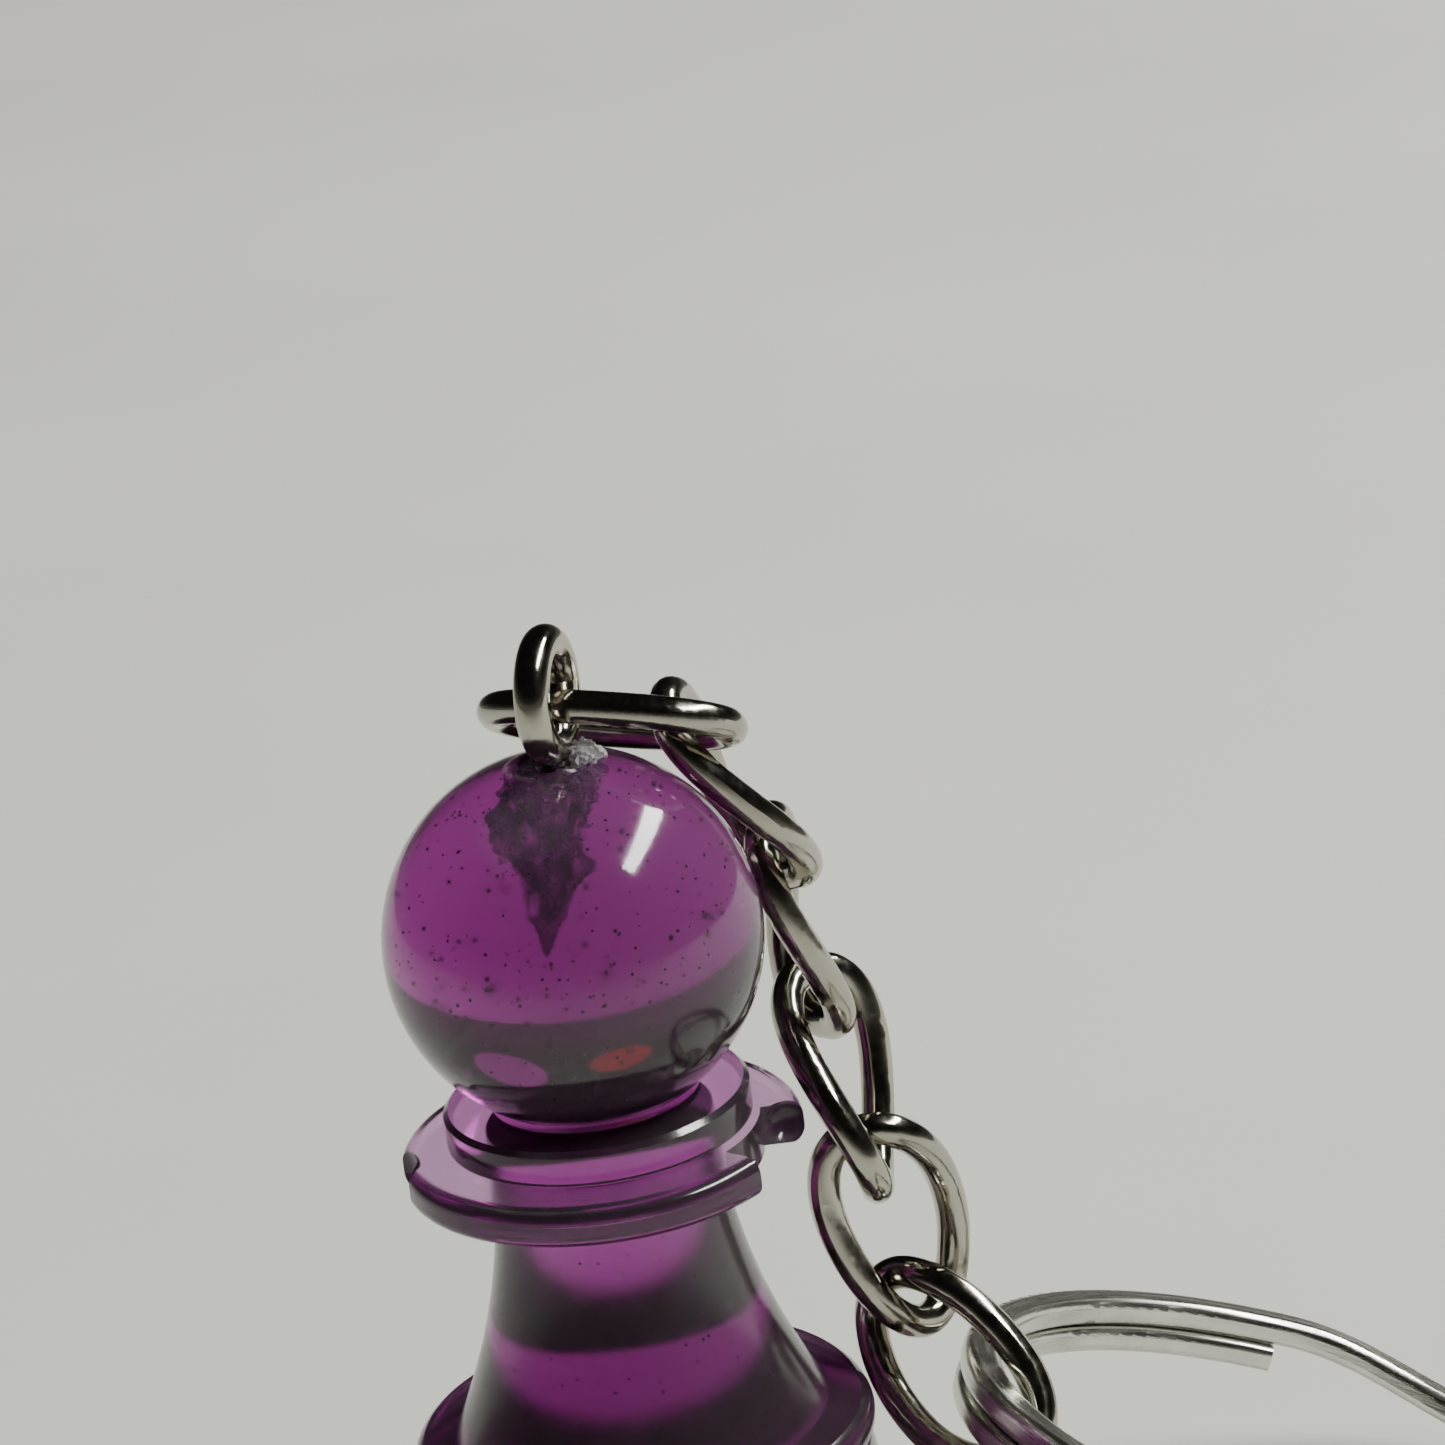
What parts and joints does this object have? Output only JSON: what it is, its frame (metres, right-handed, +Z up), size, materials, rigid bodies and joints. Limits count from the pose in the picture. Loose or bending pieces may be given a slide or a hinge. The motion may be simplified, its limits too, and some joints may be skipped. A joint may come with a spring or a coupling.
{
  "type": "chess pawn keychain",
  "caption": "Translucent cast-resin chess pawn with a screw eye in its head, a short chain of one flat and five twisted links and a split key ring.",
  "frame": {"origin": "middle of the pawn's foot, on the surface it stands on", "axes": "+Z up along the pawn; the chain falls and the ring lies towards +X; the front is -Y"},
  "size_m": [0.0528, 0.03, 0.0449],
  "materials": {
    "resin": "polished translucent violet casting resin",
    "nickel_wire": "bright nickel plate",
    "set_glue": "crumbled clear glue",
    "ring_steel": "satin nickel-plated spring steel"
  },
  "bodies": {
    "pawn": {"pawn": "resin", "screw_eye": "nickel_wire", "glue_bead": "set_glue"},
    "link_1": {"link_1": "nickel_wire"},
    "link_2": {"link_2": "nickel_wire"},
    "link_3": {"link_3": "nickel_wire"},
    "link_4": {"link_4": "nickel_wire"},
    "link_5": {"link_5": "nickel_wire"},
    "link_6": {"link_6": "nickel_wire"},
    "split_ring": {"split_ring": "ring_steel"}
  },
  "joints": [
    {"name": "eye_to_link_1", "type": "hinge", "parent": "pawn", "child": "link_1", "pos_m": [0.0004, 0.00009, 0.04173], "axis": [0.9486, -0.3124, -0.0496], "range_deg": [0, 45]},
    {"name": "link_1_to_link_2", "type": "hinge", "parent": "link_1", "child": "link_2", "pos_m": [0.00484, 0.00343, 0.03885], "axis": [-0.3615, -0.8636, -0.3515], "range_deg": [0, 26]},
    {"name": "link_2_to_link_3", "type": "hinge", "parent": "link_2", "child": "link_3", "pos_m": [0.00732, 0.005, 0.03413], "axis": [-0.9703, -0.2101, -0.12], "range_deg": [0, 22]},
    {"name": "link_3_to_link_4", "type": "hinge", "parent": "link_3", "child": "link_4", "pos_m": [0.00869, 0.00576, 0.02771], "axis": [-0.8296, -0.5485, 0.1041], "range_deg": [0, 30]},
    {"name": "link_4_to_link_5", "type": "hinge", "parent": "link_4", "child": "link_5", "pos_m": [0.00962, 0.0017, 0.02239], "axis": [0.9654, -0.0599, 0.2538], "range_deg": [0, 50]},
    {"name": "link_5_to_link_6", "type": "hinge", "parent": "link_5", "child": "link_6", "pos_m": [0.0103, 0.00249, 0.0159], "axis": [0.7275, -0.52, 0.4477], "range_deg": [0, 60]},
    {"name": "link_6_to_ring", "type": "hinge", "parent": "link_6", "child": "split_ring", "pos_m": [0.01328, -0.00046, 0.01262], "axis": [0.0472, -0.9938, 0.1007], "range_deg": [-60, 30]}
  ]
}
